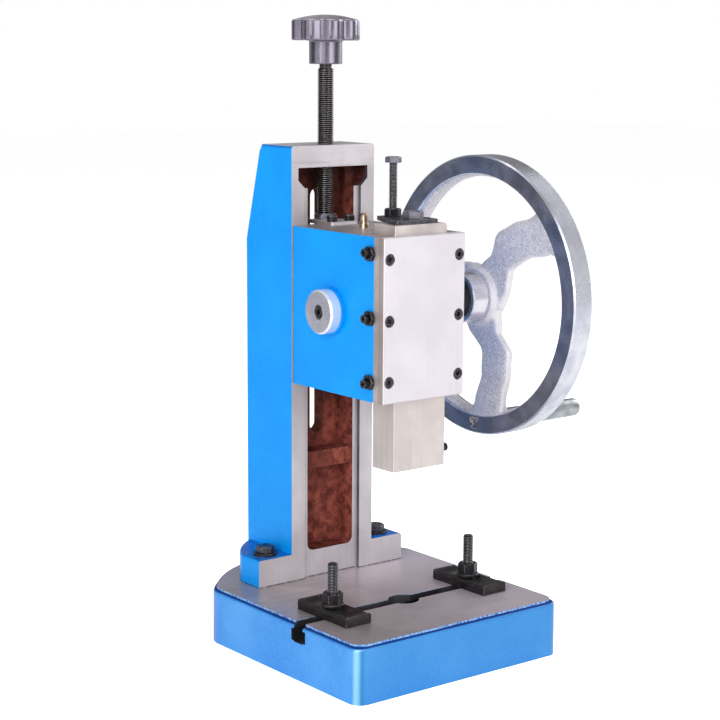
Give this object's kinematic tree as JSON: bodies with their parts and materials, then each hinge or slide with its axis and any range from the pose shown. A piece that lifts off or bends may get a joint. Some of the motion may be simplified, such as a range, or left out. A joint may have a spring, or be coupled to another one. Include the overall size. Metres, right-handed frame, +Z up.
{
  "type": "arbor press",
  "caption": "Bench arbor press: T-slotted table, column with height-adjustable head, handwheel and rack-driven ram",
  "frame": {"origin": "on the bench, in the column's plane of symmetry, under the middle of the table's T-slot", "axes": "+Z up, -Y towards the operator, +X towards the handwheel"},
  "size_m": [0.3986, 0.2975, 0.608],
  "materials": {
    "painted_base": "gloss enamel on cast iron, ground on top",
    "painted_casting": "gloss enamel on cast iron, ground ways",
    "black_steel": "black oxide",
    "ground_steel": "ground",
    "zinc_steel": "bright zinc",
    "plated_iron": "plated, polished rim and rough cast spokes",
    "bronze": "machined bronze",
    "brass": "turned brass",
    "moulded_knob": "moulded"
  },
  "bodies": {
    "frame": {"base": "painted_base", "column": "painted_casting", "foot_bolts": "black_steel", "foot_washers": "black_steel"},
    "head": {"head": "painted_casting", "cover_plate": "ground_steel", "cover_screws": "black_steel", "gib": "bronze", "gib_screws": "black_steel", "gib_lock_nuts": "black_steel", "left_bush": "bronze", "right_bush": "bronze", "screw_bracket": "black_steel", "bracket_screws": "black_steel", "oiler": "brass", "clamp_studs": "black_steel", "clamp_plate": "black_steel", "clamp_washers": "black_steel", "clamp_nuts": "black_steel"},
    "screw": {"lead_screw": "black_steel", "screw_nut": "black_steel", "screw_collar": "black_steel", "knob": "moulded_knob"},
    "ram": {"ram": "ground_steel", "rack": "ground_steel", "rack_screws": "black_steel", "stop_plate": "black_steel", "stop_plate_bolt": "zinc_steel", "stop_lock_nut": "black_steel"},
    "stop_bolt": {"stop_bolt": "black_steel"},
    "tool_screw": {"tool_screw": "black_steel"},
    "wheel": {"pinion_shaft": "ground_steel", "cap_disc": "zinc_steel", "cap_screw": "black_steel", "shaft_collar": "black_steel", "wheel_key": "ground_steel", "handwheel": "plated_iron", "wheel_washer": "black_steel", "wheel_screw": "black_steel", "handle_spindle": "ground_steel"},
    "handle": {"handle": "zinc_steel"},
    "left_bolt": {"left_tee_bolt": "black_steel"},
    "left_nut": {"left_clamp_washer": "black_steel", "left_clamp_nut": "black_steel"},
    "left_strap": {"left_strap": "black_steel"},
    "right_bolt": {"right_tee_bolt": "black_steel"},
    "right_nut": {"right_clamp_washer": "black_steel", "right_clamp_nut": "black_steel"},
    "right_strap": {"right_strap": "black_steel"}
  },
  "joints": [
    {"name": "head_slide", "type": "slide", "parent": "frame", "child": "head", "axis": [0, 0, 1], "range_m": [-0.07, 0.04]},
    {"name": "knob_turn", "type": "hinge", "parent": "head", "child": "screw", "pos_m": [0, 0.124, 0.45], "axis": [0, 0, 1], "range_deg": [-12600, 7200]},
    {"name": "wheel_turn", "type": "hinge", "parent": "head", "child": "wheel", "pos_m": [0, 0.05, 0.333], "axis": [1, 0, 0], "range_deg": [-126, 22.9]},
    {"name": "ram_slide", "type": "slide", "parent": "head", "child": "ram", "axis": [0, 0, 1], "range_m": [-0.008, 0.044]},
    {"name": "handle_spin", "type": "hinge", "parent": "wheel", "child": "handle", "pos_m": [0.215, 0.05, 0.2035], "axis": [1, 0, 0], "continuous": true},
    {"name": "stop_bolt_set", "type": "slide", "parent": "ram", "child": "stop_bolt", "axis": [0, 0, 1], "range_m": [0, 0.01]},
    {"name": "tool_screw_set", "type": "slide", "parent": "ram", "child": "tool_screw", "axis": [1, 0, 0], "range_m": [-0.003, 0.008]},
    {"name": "left_clamp_slide", "type": "slide", "parent": "frame", "child": "left_bolt", "axis": [1, 0, 0], "range_m": [-0.028, 0.037]},
    {"name": "left_nut_lift", "type": "slide", "parent": "left_bolt", "child": "left_nut", "axis": [0, 0, 1], "range_m": [0, 0.02]},
    {"name": "left_strap_swivel", "type": "hinge", "parent": "left_nut", "child": "left_strap", "pos_m": [-0.0835, 0, 0.06], "axis": [0, 0, 1], "range_deg": [-90, 90]},
    {"name": "right_clamp_slide", "type": "slide", "parent": "frame", "child": "right_bolt", "axis": [1, 0, 0], "range_m": [-0.037, 0.028]},
    {"name": "right_nut_lift", "type": "slide", "parent": "right_bolt", "child": "right_nut", "axis": [0, 0, 1], "range_m": [0, 0.02]},
    {"name": "right_strap_swivel", "type": "hinge", "parent": "right_nut", "child": "right_strap", "pos_m": [0.0835, 0, 0.06], "axis": [0, 0, 1], "range_deg": [-90, 90]}
  ],
  "couplings": [
    {"joint": "knob_turn", "follows": "head_slide", "rad_per_m": 3141.6},
    {"joint": "ram_slide", "follows": "wheel_turn", "m_per_rad": -0.02}
  ]
}
